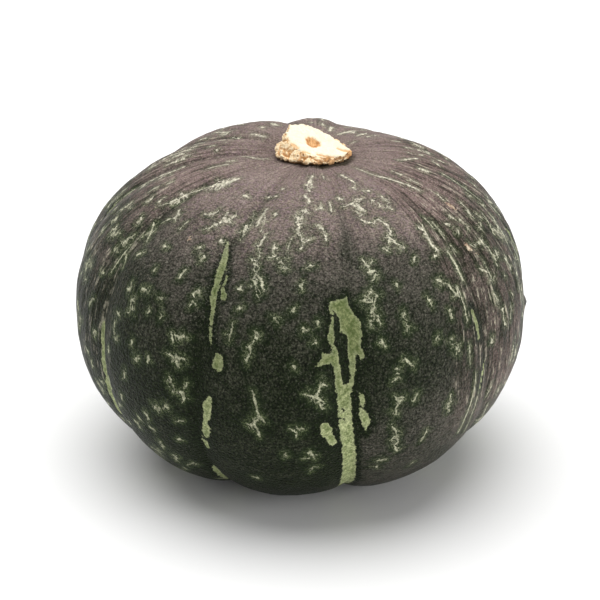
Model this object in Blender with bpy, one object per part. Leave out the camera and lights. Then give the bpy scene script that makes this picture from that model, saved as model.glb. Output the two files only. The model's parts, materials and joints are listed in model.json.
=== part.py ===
"""A whole kabocha squash standing on its blossom end, with the corky stub of its cut stem.

The fruit is a flattened, ribbed globe: ten lobes that meet in shallow grooves, a shallow basin
round the stem and a flatter, slightly hollow underside. The stem is a flared stub with an
irregular outline, cut off at a slant, with the pith hollow showing in its cut face.
Metres, +Z up, origin under the middle of the fruit on the surface that it rests on.
"""

import math

import bmesh
import bpy
from mathutils import Matrix, Vector

MM = 0.001

# Fruit: a lobe's crown line, from the stem end to the blossom end.
CROWN_RADIUS = 86.0 * MM  # from the axis, at the widest level
TOP_RISE = 63.6 * MM  # of the crown line above the widest level
BOTTOM_DROP = 66.8 * MM
TOP_FULLNESS = 2.28  # 2 is an ellipse, and more is squarer in the shoulders
BOTTOM_FULLNESS = 2.16
STEM_BASIN_DEPTH = 4.0 * MM
STEM_BASIN_RADIUS = 22.0 * MM
STEM_OFFSET = 4.5 * MM  # the stem end leans this far to +X
BLOSSOM_BASIN_DEPTH = 10.0 * MM
BLOSSOM_BASIN_RADIUS = 30.0 * MM
BLOSSOM_SCAR_HEIGHT = 1.3 * MM
BLOSSOM_SCAR_RADIUS = 6.0 * MM
SETTLED_DEPTH = 0.8 * MM  # how far the lobes are pressed flat where they bear the weight

# Grooves: azimuths in degrees at the stem end, the widest level and the blossom end.
# 0 is the front (-Y) and 90 is +X.
GROOVES = (
    (-96, -94, -92),
    (-62, -60, -60),
    (-25, -26, -29),
    (14, 11, 18),
    (48, 53, 66),
    (86, 90, 92),
    (127, 128, 128),
    (168, 166, 165),
    (190, 197, 200),
    (236, 236, 236),
)
GROOVE_DEPTHS = (1.4 * MM, 2.5 * MM, 4.2 * MM)  # below the crown line, at the same three levels
GROOVE_SHARPNESS = 0.58  # 1 is a parabola across the lobe, and less has a narrower groove
GROOVE_FADE_RADIUS = 30.0 * MM  # the grooves run out within this distance of the axis
# How far each lobe, from its groove to the next, stands above the crown line.
SWELLS = tuple(s * MM for s in (-0.4, 0.3, 0.2, 0.1, -1.6, -1.4, -1.8, 0.4, 1.2, 0.3))
SWELL_FADE = 0.35  # share of the lower half over which the lobes come level with each other

# Stem
STEM_HALF_WIDTH = 14.6 * MM  # along X, at the flare
STEM_HALF_DEPTH = 13.0 * MM  # along Y
STEM_HEIGHT = 5.9 * MM  # of the cut face's middle above the bottom of the basin
STEM_ROOT = 7.0 * MM  # how far the uncut solid reaches below the bottom of the basin
STEM_CUT_SLOPE = (-0.28, 0.24)  # rise of the cut face per metre along X and Y
# The stub's girth from its root to its cut: share of the height, share of the flare's radius.
STEM_GIRTHS = ((0.0, 0.80), (0.42, 0.80), (0.55, 1.0), (0.68, 0.97), (0.85, 0.86), (1.0, 0.79))
PITH_RADIUS = 2.6 * MM
PITH_DEPTH = 3.5 * MM
PITH_OFFSET = Vector((-0.4, 0.6, 0.0)) * MM  # from the middle of the cut face
SEAT_GAP = 0.3 * MM  # between the stem and the skin round it

# Mesh fineness
SEGMENTS_PER_LOBE = 8
FRUIT_RINGS = 38
RING_CROWDING = 0.55  # draws the rings together towards the two ends
STEM_SEGMENTS = 30


def clear_scene():
    for thing in list(bpy.data.objects):
        bpy.data.objects.remove(thing)


def make_material(name, colour, roughness):
    material = bpy.data.materials.new(name)
    material.use_nodes = True
    shader = material.node_tree.nodes["Principled BSDF"]
    shader.inputs["Base Color"].default_value = (*colour, 1.0)
    shader.inputs["Roughness"].default_value = roughness
    shader.inputs["Metallic"].default_value = 0.0
    return material


def make_collection(name):
    collection = bpy.data.collections.new(name)
    bpy.context.scene.collection.children.link(collection)
    return collection


def add_object(name, mesh, collection):
    thing = bpy.data.objects.new(name, mesh)
    collection.objects.link(thing)
    return thing


def mesh_of(name, bm):
    mesh = bpy.data.meshes.new(name)
    bm.to_mesh(mesh)
    bm.free()
    return mesh


def at_level(values, level):
    """A value at a level (1 stem end, 0 widest, -1 blossom end), given the values at those three."""
    stem_end, widest, blossom_end = values
    end = stem_end if level > 0 else blossom_end
    return widest + (end - widest) * abs(level)


def groove_azimuth(index, level):
    turns, groove = divmod(index, len(GROOVES))
    return math.radians(at_level(GROOVES[groove], level) + 360 * turns)


def crown_line(polar):
    """Of the crown line at a polar angle: its radius, its height over the widest level and its normal."""
    across, level = math.sin(polar), math.cos(polar)
    rise, fullness = (TOP_RISE, TOP_FULLNESS) if level > 0 else (BOTTOM_DROP, BOTTOM_FULLNESS)
    radius = CROWN_RADIUS * max(across, 0.0) ** (2 / fullness)
    height = math.copysign(rise * abs(level) ** (2 / fullness), level)
    normal = Vector((radius / CROWN_RADIUS**2, height / rise**2)).normalized()
    return radius, height, normal


def end_basins(radius, level):
    """How much the hollows at the two ends, and the corky blossom scar, add to the height."""
    if level > 0:
        return -STEM_BASIN_DEPTH * math.exp(-((radius / STEM_BASIN_RADIUS) ** 2))
    hollow = BLOSSOM_BASIN_DEPTH * math.exp(-((radius / BLOSSOM_BASIN_RADIUS) ** 2))
    scar = BLOSSOM_SCAR_HEIGHT * math.exp(-((radius / BLOSSOM_SCAR_RADIUS) ** 4))
    return hollow - scar


def fruit_point(turn, polar):
    """A point of the skin. turn counts lobes round the fruit, and polar is 0 at the stem end."""
    level = math.cos(polar)
    lobe = int(turn) % len(GROOVES)
    share = turn - int(turn)
    start, end = groove_azimuth(int(turn), level), groove_azimuth(int(turn) + 1, level)
    azimuth = start + (end - start) * share
    radius, height, normal = crown_line(polar)
    arch = (4 * share * (1 - share)) ** GROOVE_SHARPNESS
    away = min(1.0, radius / GROOVE_FADE_RADIUS)
    away *= away * (3 - 2 * away)
    swell = SWELLS[lobe] * min(1.0, (1 + level) / SWELL_FADE)
    lift = away * (swell * arch - at_level(GROOVE_DEPTHS, level) * (1 - arch))
    radius += lift * normal[0]
    height += lift * normal[1] + end_basins(radius, level)
    lean = STEM_OFFSET * max(level, 0.0) ** 2
    return Vector((radius * math.sin(azimuth) + lean, -radius * math.cos(azimuth), height))


def fruit_mesh():
    """A globe whose meridians are moved onto the lobes and grooves, standing on its settled lobes."""
    bm = bmesh.new()
    lobes = len(GROOVES)
    bmesh.ops.create_uvsphere(
        bm, u_segments=lobes * SEGMENTS_PER_LOBE, v_segments=FRUIT_RINGS, radius=1.0
    )
    for vertex in bm.verts:
        x, y, z = vertex.co
        turn = round(math.atan2(x, -y) / math.tau * lobes * SEGMENTS_PER_LOBE) / SEGMENTS_PER_LOBE
        polar = math.acos(max(-1.0, min(1.0, z)))
        polar -= RING_CROWDING * math.sin(2 * polar) / 2
        vertex.co = fruit_point(turn % lobes, polar)
    lows = [min(v.co[axis] for v in bm.verts) for axis in range(3)]
    highs = [max(v.co[axis] for v in bm.verts) for axis in range(3)]
    middle = Vector(((lows[0] + highs[0]) / 2, (lows[1] + highs[1]) / 2, lows[2] + SETTLED_DEPTH))
    for vertex in bm.verts:
        vertex.co -= middle
        vertex.co.z = max(vertex.co.z, 0.0)
    bmesh.ops.recalc_face_normals(bm, faces=bm.faces)
    return mesh_of("fruit", bm), middle


def stem_girth(share):
    """The stub's girth at a share of its height, between the rows of STEM_GIRTHS."""
    for (low, girth), (high, next_girth) in zip(STEM_GIRTHS, STEM_GIRTHS[1:]):
        if share <= high:
            return girth + (next_girth - girth) * (share - low) / (high - low)
    return STEM_GIRTHS[-1][1]


def stem_outline(azimuth):
    """The flare's uneven, roundish outline as a share of an ellipse."""
    lopsided = 0.05 * math.cos(2 * azimuth - 1.1) + 0.03 * math.cos(3 * azimuth + 2.0)
    knobbly = 0.025 * math.cos(5 * azimuth + 0.6)
    return 1.0 + lopsided + knobbly


def stem_mesh():
    """The stub with its slanting cut face, about an origin at the bottom of the basin."""
    bm = bmesh.new()
    bmesh.ops.create_cone(
        bm, cap_ends=True, segments=STEM_SEGMENTS, radius1=1.0, radius2=1.0, depth=1.0,
        matrix=Matrix.Translation((0.0, 0.0, 0.5)),
    )
    upright = [e for e in bm.edges if abs(e.verts[0].co.z - e.verts[1].co.z) > 0.5]
    bmesh.ops.subdivide_edges(bm, edges=upright, cuts=7, use_grid_fill=False)
    slope_x, slope_y = STEM_CUT_SLOPE
    for vertex in bm.verts:
        x, y, share = vertex.co
        azimuth = math.atan2(y, x)
        girth = stem_girth(share) * stem_outline(azimuth)
        vertex.co.x = STEM_HALF_WIDTH * girth * math.cos(azimuth)
        vertex.co.y = STEM_HALF_DEPTH * girth * math.sin(azimuth)
        cut = STEM_HEIGHT + slope_x * vertex.co.x + slope_y * vertex.co.y
        vertex.co.z = -STEM_ROOT + (cut + STEM_ROOT) * share
    bmesh.ops.recalc_face_normals(bm, faces=bm.faces)
    return mesh_of("stem", bm)


def seat_cutter(fruit, collection):
    """The fruit, grown by the gap that the stem keeps to the skin."""
    bm = bmesh.new()
    bm.from_mesh(fruit.data)
    bm.normal_update()
    for vertex in bm.verts:
        vertex.co += vertex.normal * SEAT_GAP
    return add_cutter("seat_cutter", mesh_of("seat_cutter", bm), collection)


def pith_cutter(foot, collection):
    """A cone that leaves the pith hollow in the cut face."""
    bm = bmesh.new()
    height = 4 * PITH_DEPTH
    bmesh.ops.create_cone(
        bm, cap_ends=True, segments=12, radius1=0.3 * PITH_RADIUS, radius2=2.1 * PITH_RADIUS,
        depth=height, matrix=Matrix.Translation((0.0, 0.0, height / 2 - PITH_DEPTH)),
    )
    cutter = add_cutter("pith_cutter", mesh_of("pith_cutter", bm), collection)
    cutter.location = foot + PITH_OFFSET + Vector((0.0, 0.0, STEM_HEIGHT))
    return cutter


def add_cutter(name, mesh, collection):
    cutter = add_object(name, mesh, collection)
    cutter.hide_render = True
    cutter.display_type = "WIRE"
    return cutter


def cut(thing, cutter):
    modifier = thing.modifiers.new(cutter.name, "BOOLEAN")
    modifier.operation = "DIFFERENCE"
    modifier.solver = "EXACT"
    modifier.object = cutter


def main():
    clear_scene()
    parts = make_collection("kabocha_squash")
    cutters = make_collection("cutters")

    mesh, middle = fruit_mesh()
    fruit = add_object("fruit", mesh, parts)
    fruit.data.materials.append(make_material("skin", (0.055, 0.062, 0.045), 0.5))
    fruit.data.shade_smooth()

    stem = add_object("stem", stem_mesh(), parts)
    stem.data.materials.append(make_material("cork", (0.78, 0.62, 0.42), 0.9))
    foot = fruit_point(0, 0) - middle
    stem.location = foot
    cut(stem, seat_cutter(fruit, cutters))
    cut(stem, pith_cutter(foot, cutters))


main()
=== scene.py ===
"""The looks of a whole kabocha squash: its skin, its corky stem stub and a plain studio round them.

The skin is a fine grid over the ribbed globe that the CAD describes. Its markings are strokes and
outlines, picked in the photo. A helper script worked out the angles of some of the flecks.
Azimuths are in degrees from the front (-Y) towards +X, and polar angles in degrees from the stem end (0)
to the blossom end (180). Each grid point keeps how far away the nearest mark is, in millimetres, and the
skin's material turns that into ragged marks.
"""

import json
import math
import random
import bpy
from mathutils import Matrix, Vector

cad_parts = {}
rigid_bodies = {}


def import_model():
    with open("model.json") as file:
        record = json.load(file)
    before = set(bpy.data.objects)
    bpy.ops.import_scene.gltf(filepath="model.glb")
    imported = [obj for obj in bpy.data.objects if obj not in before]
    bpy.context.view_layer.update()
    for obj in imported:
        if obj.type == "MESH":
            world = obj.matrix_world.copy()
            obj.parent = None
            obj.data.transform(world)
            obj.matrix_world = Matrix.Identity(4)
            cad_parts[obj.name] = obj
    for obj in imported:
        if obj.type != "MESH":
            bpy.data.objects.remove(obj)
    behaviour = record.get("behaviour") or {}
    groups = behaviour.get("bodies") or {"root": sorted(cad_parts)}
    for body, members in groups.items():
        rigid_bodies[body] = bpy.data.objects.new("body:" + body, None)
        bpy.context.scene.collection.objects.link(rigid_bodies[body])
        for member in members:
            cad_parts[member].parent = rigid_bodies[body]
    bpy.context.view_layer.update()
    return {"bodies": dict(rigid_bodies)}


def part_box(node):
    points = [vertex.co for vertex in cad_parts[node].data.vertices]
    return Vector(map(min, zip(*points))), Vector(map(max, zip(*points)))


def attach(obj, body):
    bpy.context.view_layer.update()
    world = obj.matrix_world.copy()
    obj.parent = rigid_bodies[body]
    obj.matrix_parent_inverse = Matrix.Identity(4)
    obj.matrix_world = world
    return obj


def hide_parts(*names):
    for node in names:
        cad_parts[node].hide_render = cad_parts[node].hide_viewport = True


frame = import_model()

from types import SimpleNamespace

import bpy
import numpy as np
from mathutils import Vector, noise

BODY = next(iter(frame["bodies"]))
MM = 0.001


def marks(text):
    """Marks from text, in which each ends in a semicolon and commas part its points.

    A point is its azimuth, its polar angle and, in a stroke, half the stroke's width in millimetres.
    """
    plain = "".join(line for line in text.splitlines() if "#" not in line)
    return tuple(
        tuple(tuple(map(float, point.split())) for point in mark.split(","))
        for mark in plain.split(";") if mark.strip()
    )


# Fruit: the crown line of a lobe, as in the CAD
CROWN_RADIUS = 86.0 * MM
TOP_RISE = 63.6 * MM
BOTTOM_DROP = 66.8 * MM
TOP_FULLNESS = 2.28
BOTTOM_FULLNESS = 2.16
STEM_BASIN_DEPTH = 4.0 * MM
STEM_BASIN_RADIUS = 22.0 * MM
STEM_OFFSET = 4.5 * MM
BLOSSOM_BASIN_DEPTH = 10.0 * MM
BLOSSOM_BASIN_RADIUS = 30.0 * MM
BLOSSOM_SCAR_HEIGHT = 1.3 * MM
BLOSSOM_SCAR_RADIUS = 6.0 * MM

# Grooves, as in the CAD: azimuths in degrees at the stem end, the widest level and the blossom end
GROOVES = np.array((
    (-96, -94, -92),
    (-62, -60, -60),
    (-25, -26, -29),
    (14, 11, 18),
    (48, 53, 66),
    (86, 90, 92),
    (127, 128, 128),
    (168, 166, 165),
    (190, 197, 200),
    (236, 236, 236),
    (264, 266, 268),  # the first again, a turn later
))
LOBES = len(GROOVES) - 1
GROOVE_DEPTHS = np.array((1.4, 2.5, 4.2)) * MM
GROOVE_SHARPNESS = 0.58
GROOVE_ROUNDING = 0.05  # of the groove's bottom, as a share of the arch across a lobe
GROOVE_FADE_RADIUS = 30.0 * MM
SWELLS = np.array((-0.4, 0.3, 0.2, 0.1, -1.6, -1.4, -1.8, 0.4, 1.2, 0.3)) * MM
SWELL_FADE = 0.35
NODULE = (88.0, 89.0, 3.0, 1.7)  # a small bump: azimuth, polar, its radius and height in mm

# The skin's grid
SEGMENTS = 512
RINGS = 188
POLE_RADIUS = 26.0  # in mm: patterns are right in size on the flanks, and are drawn out nearer the ends

# Stripes in the grooves of the front, as outlines
FRONT_PATCHES = marks("""
    # the forked stripe
    6.2 60, 7.5 59, 10.6 58.3, 11.4 57.4, 11.9 60.5, 13.2 63.4, 14.7 66.5, 14.8 71, 14.4 73.5, 15.2 77,
    14.6 79, 13.2 76, 13.1 80.5, 12.7 85, 12 88, 12.2 93, 12.6 97.5, 13.2 103, 14.2 109.5, 15.2 117,
    17.2 130, 17.6 140, 19 152, 19.2 161, 17.4 166, 16 160, 14.6 148, 12.6 138, 12.2 131, 11.6 122,
    10.8 112, 10 104.5, 9.2 99, 8.9 94, 8.5 89.5, 8 85, 7.7 80.5, 7 78.3, 4.6 79, 2.6 79.6, 4.4 77.6,
    4.8 75.2, 7.3 75.5, 6.8 73.3, 6 70.5, 6.6 67, 7 64;
    # the patches on both sides of its trunk
    4.2 96.4, 5 95.3, 6.4 95.8, 7.3 97.4, 7.4 99.4, 8.2 101.6, 8.7 103.4, 7.6 104.6, 6.6 103.6, 5.8 101,
    4.2 100, 4.9 98.4;
    13.8 88.2, 14.9 88.2, 15.3 90.4, 14.9 92, 16 94, 16.9 96, 16.8 97.8, 16.1 99.6, 15.9 101.4, 15.1 101,
    15.2 98.4, 14.4 95.8, 13.9 93.8, 14.1 91;
""")
# The same, as strokes
FRONT_STRIPES = marks("""
    # the stripe left of it, with a short prong beside it
    -28.4 42 .4, -27.6 45 .8, -26.6 48 1.1, -26.3 50 1.4, -26 55 1.1, -25.5 60 1.3, -24.4 65 .8,
    -23.9 70 .6, -23 75 .4; -23.5 53 .4, -23.6 57 .5, -22.4 59.5 1.3; -24.4 51.5 .5;
    # the two streaks in the groove right of it
    48.5 72 .7, 49.3 77 1.1, 49.8 82 .8; 52 90 .6, 51.3 93 .9, 50.5 97 .6;
""")
# Holes in them: the forked stripe's dark island as an outline, and small gaps as strokes
FRONT_ISLANDS = marks("""
    7.7 62, 8.8 64, 9.2 66, 9.2 69, 10.6 69.3, 11.2 71, 11.2 76, 11.7 82, 11.6 84.8, 10.5 86, 9.7 84.5,
    9.2 79, 8.8 75.3, 7.8 73, 7.8 69.6, 7.5 66;
""")
FRONT_GAPS = marks("""
    13 76.5 .15, 13 78.5 .2; 9.3 93.2 .35; 10.1 92.4 .4, 10.6 93.2 .3; 10.6 95.5 .5, 10.9 96.6 .2;
    9.5 95.4 .2; 14.6 93.6 .25;
""")
# Stripes low on the left and round the back
OTHER_STRIPES = marks("""
    -21.5 76.5 .7, -20.8 79 1.5, -20.6 82 1.1; -23 91 .8, -24.5 101 1.7, -25.5 110 1.1;
    -26.5 121 .9, -28 135 2.2, -29 155 1.4;
    -60.5 82 .7, -60 96 2, -60.8 110 1.4, -60.2 131 2.6, -60 157 1.3; -57.6 93 .6, -57.2 100 1;
    -94.5 48 .4, -94.5 57 1.2, -93.6 66 .7;
    -94 79 1, -93.2 92 1.9, -93.8 104 .8, -92.5 128 2.1, -92 158 1.2; 57 122 1.1, 61 138 2.1, 65 158 1.2;
    88.5 62 .6, 89.6 74 1.4, 90 83 .7; 90.4 97 1, 90 112 1.9, 91.2 133 2.4, 92 158 1.2;
    127.5 41 .5, 128.2 52 1.5, 127.6 63 .8;
    128.2 71 1.4, 127.4 86 2.7, 128.4 98 1.9, 128 121 2.6, 128 157 1.3;
    131 78 .6, 130.4 88 1.2, 131.6 94 .5; 166.8 55 .9, 166 68 2.1, 165.2 79 1;
    166.3 92 1.4, 165.6 109 2.3, 165 131 2.7, 165 158 1.3; 193.6 44 .5, 195.7 58 1.6, 196.4 66 .6;
    197.2 77 1.7, 196.4 93 2.4, 198 112 1.5, 199 133 2.3, 200 158 1.3;
    236.4 50 .8, 235.6 64 1.9, 236.4 77 .9; 235.8 86 1.2, 236.8 103 2.2, 236 128 2.6, 236 158 1.3;
    239.4 96 .8, 239.2 104 1.3;
""")

# Flecks on the front and the sides, as strokes
FLECK_HALF_WIDTH = 0.28  # of a point that states none
FRONT_FLECKS = marks("""
    # radial streaks round the stem
    166 15.6 .6, 166.8 20 .65; 157 14 .5, 153.4 18 .75, 151.5 21 .6; 142.8 16.5 .4, 142 20 .5;
    132 10.4, 132 12; -131 17.8, -130.5 13.2 .45; -126 22.8, -125.7 20.2; -134 33, -131.8 27 .4;
    -152 19, -153 16.5 .5; -76.5 10, -76 9.2; -92.5 16 .2, -81.8 12 .3, -76.5 10 .28;
    87 19 .3, 92 22 .4, 96.5 25 .45; 98 30 .4, 96 32 .35; 83 25 .5, 83.2 28 .45; 68 19, 67 22;
    66.5 24.5, 66 27; -92 30, -90 34, -88 38; -78 23, -78 25; -82 17, -82 19; -79 34, -79 36;
    -81 38, -81 41; -71 38, -71 40; -100 31, -100 35; -104 40, -104 44; -83 49, -83 52;
    # the fringed streak across the lobe on the left
    -51 20.4 .35, -51.6 22 .8, -53.6 23.8 1, -57 25.6 .8, -61 27.4 .4;
    -61 27.4 .3, -63.6 31 .32, -64.5 35 .45, -66 38.4 .3, -68 41 .22; -52 23 .3, -51 25.6 .2;
    -55 24.6 .3, -53.6 27.6 .2; -58 26 .3, -55.4 28.6 .2; -67 33.8 .3, -62.4 33.6 .35;
    -64.5 35, -62.4 36.8; -52.6 22.6 .3, -49.6 24 .2; -57.2 21.8 .3, -52.6 24.6 .35, -51.6 27.6 .2;
    -54.5 20.8 .25, -51.8 22.4 .4; -60.5 22.8 .25, -56.2 23.6 .4, -54.4 27.2 .25;
    -63.5 23.6 .2, -58.8 25.2 .4, -58.2 29 .25;
    # the rest of that lobe
    -57.2 37.8 .35, -55 39.8, -52.8 41.8 .25; -58 42.8, -55.6 41.6 .4, -54 41;
    -47.8 43.6 .22, -47.6 40 .28; -36 25.6 .6; -31 42 .5; -44 36 .4;
    -62.5 45.4, -59.4 48.2 .45, -56.5 51.4; -62 51, -59.4 48.2; -57.6 47, -59.4 48.2; -48.2 49.8 .7;
    -36 46.4 .6; -33.2 48.8 .5, -33 50.6; -40 33.6, -42 36; -37.2 57.8 .25, -36.4 54.4 .35;
    -30 59.4 .55, -31.4 61; -30.5 62.6, -31 65; -32 33, -35 36.5 .5, -38 40; -36 33, -35.5 36;
    -32.6 35.4, -35 36.5; -56.5 56.4 .5, -55 55; -46 58 .5; -52 64, -51 67; -42 70 .6; -34 74, -33 77;
    -54 78, -53 82; -76.2 54.6, -74 56.5 .4, -72 55.2; -74 56.5, -75 59; -68 60 .5; -82 47 .4, -82 50;
    # long fine lines along the far side of it
    -91 31 .22, -91.2 39.8 .32, -95.8 48.6 .25, -96.2 56.6 .15; -100.2 32.6 .3, -100 36.4 .25;
    -79.2 23.2 .2, -76.8 18.6 .32;
    # two fine lines in the groove beyond it
    -63.2 55.4 .3, -63.4 61.4 .32, -63.8 66 .3; -62 58.2 .32, -59.6 62.2 .28;
    # the lobe left of the forked stripe
    -20 19 .6; -21 22.5 .6; -25 23 .55; -21.4 28 .3, -21.8 31.6 .45, -21.5 35; -21.8 31.6, -19.8 33.6;
    -15.8 30 .65; -25.8 35 .5, -25.4 37.6 .4; -16.2 37.6, -16.6 41 .45; -17 47 .5; -11 45 .6; -6.5 49 .55;
    -15 51, -13 53 .5, -11.5 56.5; -15.5 55, -13 53; -18.5 56.5 .5; -1 12 .45, -2.4 14.6 .5, -4.5 17.6 .4;
    -2.4 14.6 .4, -.2 18 .35; -3 18.8 .5, -2 20; -4.2 22.2 .6; -1.6 23.9 .6, -1.4 25.2 .5;
    -6 28.8, -3 28.2 .4; -3 29, -.6 29.6; 4 27.2 .75, 5 26.8 .5; -6.4 31, -5 32.4, -4.4 34.6, -4 37;
    -5 32.4, -3.6 31; -3.4 38.4, -1.6 40, 1 38.4; -1.6 40, -2.4 42;
    1.5 33.6, 3.8 33.8 .4, 5.6 36, 6 39 .4; -12 41, -11.6 43; -8.4 46 .5; 1 47.5 .5; -1.5 54 .6;
    -17 62.5 .6; -18 67, -18 73; -12 69, -11.2 71, -13 74, -12.4 76, -13.5 78; -7 65 .6; -3 62 .5;
    3.5 65.5 .6; 0 67.5 .6; 3 72 .5; -2 79 .5; -11.6 86.8 .35, -10.8 90 .5;
    -10.8 90, -10.2 93.4 .4, -11.4 95.4, -10.5 97.6 .45, -10 100.4; -10.2 93.4, -8.6 95;
    -11.4 95.4, -12.8 97; 1.2 87.4, 3.3 88.2 .5, 5.4 89.6; 3.3 88.2, 4.2 85.6, 5 83.4; 4.2 85.6, 5.6 85;
    3.3 88.2, 5 91.2; -3 96.5, -1.3 98; .3 96.5, -1.3 98, -1.2 100; 2.2 105.5, 2.6 108, 3.4 109.6;
    2.6 108, 1.2 109; 3 113, 2.4 116; -4 106 .4, -4.4 108; -14 120, -12 121 .4;
    # fine trails between them
    -21.5 29 .1, -19 33 .16, -18.5 37 .1; -18 41 .12, -15.5 45 .18, -16 50 .1;
    -16 47 .12, -14.4 49.5 .18, -15.4 53 .1; -13.4 52 .1, -14 56 .18, -12.4 59 .1;
    -26 30 .1, -24 35 .16, -25 40 .1; -6 38 .1, -7 42 .15, -6 46 .1;
    # the fine white line in the forked stripe's own groove
    9.2 24.5 .32, 9.3 28.5 .36;
    # the lobe right of it
    10 11.5 .4, 10 13; 26 12.4, 28 15 .4; 28.4 16.8 .45, 29 18.4; 26 20.2 .6, 26.2 21.4;
    16 23.6 .5, 14.6 22; 30 22.4, 33 23 .5; 19 26.4, 22 28 .5, 24.5 30; 24.4 24.8, 23.6 26.4, 22 28;
    26.8 25, 23.6 26.4; 22 28, 20.8 30.4; 30.5 27 .5; 21.2 32.6 .4, 22.4 34.2, 25.6 34.6 .45, 28 34;
    28 34, 30.4 36.4, 30.2 39.6, 28 42 .4; 28 42, 30.4 43.4, 32.6 45.6; 25.5 44 .5, 26.6 45.2;
    36.5 26.5, 36.5 28.5; 36 30.5, 36 32; 32 29.6 .5; 34 50 .5; 42 41 .5;
    43.8 40.4, 42.8 44 .5, 42.8 47.6 .6, 44.4 50 .5; 42 51 .5; 17.4 46, 18.6 49, 20.6 52.6;
    20.6 47.6, 18.6 49; 20.6 52.6, 19.4 53.6; 26 56.5 .6; 18.4 56.5, 17.3 58.8, 15.6 60.8;
    17.3 58.8, 18.6 61.4, 17.6 64 .4; 20 58.2, 18.6 61.4; 17.6 66.2, 17.2 68.6; 18.4 66, 19.6 67;
    39.5 59 .6; 34 62.5, 35 66; 26.4 65, 26.6 67.4; 27 70, 26.4 71.6; 19.6 73 .5, 20.4 75;
    25.2 79.6, 26.2 81 .55, 27.2 82.6; 40.5 69, 40.4 71.6 .5; 39.5 78 .5;
    40 81, 41.3 80.5, 41.6 82.3, 40.5 83; 34.5 76 .5; 23.4 84.6, 22 86; 23 82.4 .5; 22.6 91, 24.4 90.4;
    28.6 90, 27.6 92 .5; 24.4 90.4, 22.8 93.4, 23.4 95.6 .4; 22 98.4, 22.6 100;
    23.4 100.6, 23.8 103, 24.6 105.4; 23.8 103, 22.6 104; 24.6 105.4, 24 108 .4, 25 110;
    38.5 93.5, 38.2 96, 38.7 99; 38.2 96, 37 97; 32.4 104, 31.4 107.6 .4; 19.8 114.6, 21.4 114, 23 113.6;
    32.2 119 .5, 32 120; 21 118 .5;
    # pale lines beyond it
    53 10.4 .25, 52 15.4 .4, 58.8 23.8 .4, 62 29.6 .32; 61 25 .3, 60 29; 66.8 33.6 .3, 66 36;
    47.6 37.6 .3, 48.4 42 .4; 50.2 39.6 .25, 51 46; 50.8 50 .4, 51.4 52;
    47.6 50.6 .4, 48.4 56.6 .7, 48.4 61.6 .5; 45 62.4 .32, 45.9 69.6 .4, 45.9 75 .3;
    42.2 61.4 .5, 44 65.2 .4; 40.2 59.2 .5; 45.5 82 .3, 45.3 88 .3;
    47.8 91 .25, 47.2 96.4 .32, 46.2 103 .4, 45 111 .4; 50.2 98 .25, 49.2 106 .3, 48.8 113 .3;
    60 109 .3, 63 119 .3; 56 43 .6; 60 41 .4, 60.6 43; 58 46.6 .6, 57.6 48; 71 44.4 .7; 74 47, 75 50;
    66 57.6, 66.2 62 .5; 57 61, 59 63 .5; 85 66 .3, 85 76 .35; 78 70 .3, 76 82 .35;
    88.2 32.4 .3, 86 40.8 .4, 85.5 46.6 .3; 82.6 52 .25, 81 58 .35, 79.4 66 .28; 78 49 .3, 74.5 56.4 .32;
    60.5 59 .25, 60.5 67 .25; 90 52 .3, 90.5 58 .3; 62 80, 62 84; 68 92, 67.5 97; 58 100, 57 105;
    81 86, 81 91; 55.4 84, 56 86 .5;
""")
# Rubbed spots where the wax is off and cork has grown
SCABS = marks("""
    65.6 38 .9, 65.9 40.4 1.1; 57.2 52 .8, 57.8 54 1.1; 59.4 56.6 .5; -42 44 .35, -41.4 45.6 .35;
    144 62 .7, 145.6 64 .5; -142 51 .5, -140.6 52.4 .6;
""")
# The seeded flecks of the other lobes: the lobes' numbers, and where the rows run across each
OTHER_FLECK_LOBES = (0, 1, 4, 5, 6, 7, 8, 9)
FLECK_ROWS = (0.2, 0.42, 0.62, 0.82)
FLECK_SEED = 41
FLECK_REACH = (16, 26, 150)  # polar angles: a row starts between the first two and ends at the last
FIBRES_FROM = 24  # a polar angle: the streaks that start nearer the stem have no fibres
THIN_LINE = 0.32  # and neither has a line whose half width is stated and at most this
# What the listed flecks cover: from and to which azimuth, and down to which polar angle
PICKED = ((-20, 60, 122), (-62, -20, 62), (-100, 100, 40))
MARK_REACH = 6.0  # millimetres outside a mark over which its distance is kept

# The waxy bloom: a coat on the flanks, whose edge is given as (azimuth, polar) round the fruit, and one
# on the top. Each fades over so many degrees above and below its edge.
TOP_BLOOM = 0.5  # the top coat's share
TOP_BLOOM_EDGE = 31.0
TOP_BLOOM_FADE = 26.0
LOW_BLOOM_AND_PAINTED_LIGHT = 0.26  # thin bloom low down beside the main stripe, which also paints light onto the lower right
RUBBED_BLOOM = 0.25  # how much of the flank's coat is gone from the ridges on the right
PAINTED_GROOVE_SHADE = (0.10, 0.14)  # painted shade: how much wax is taken from the grooves to darken them, and how much more near the top
BLOOM_FADE = 32.0
BLOOM_EDGE = (
    (-180, 72), (-125, 68), (-95, 66), (-80, 63), (-66, 58), (-55, 54), (-44, 55), (-36, 60), (-24, 66),
    (-8, 54), (4, 58), (14, 55), (21, 54), (28, 62), (38, 80), (48, 98), (56, 112), (85, 116), (115, 96),
    (150, 78), (180, 72),
)

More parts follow.
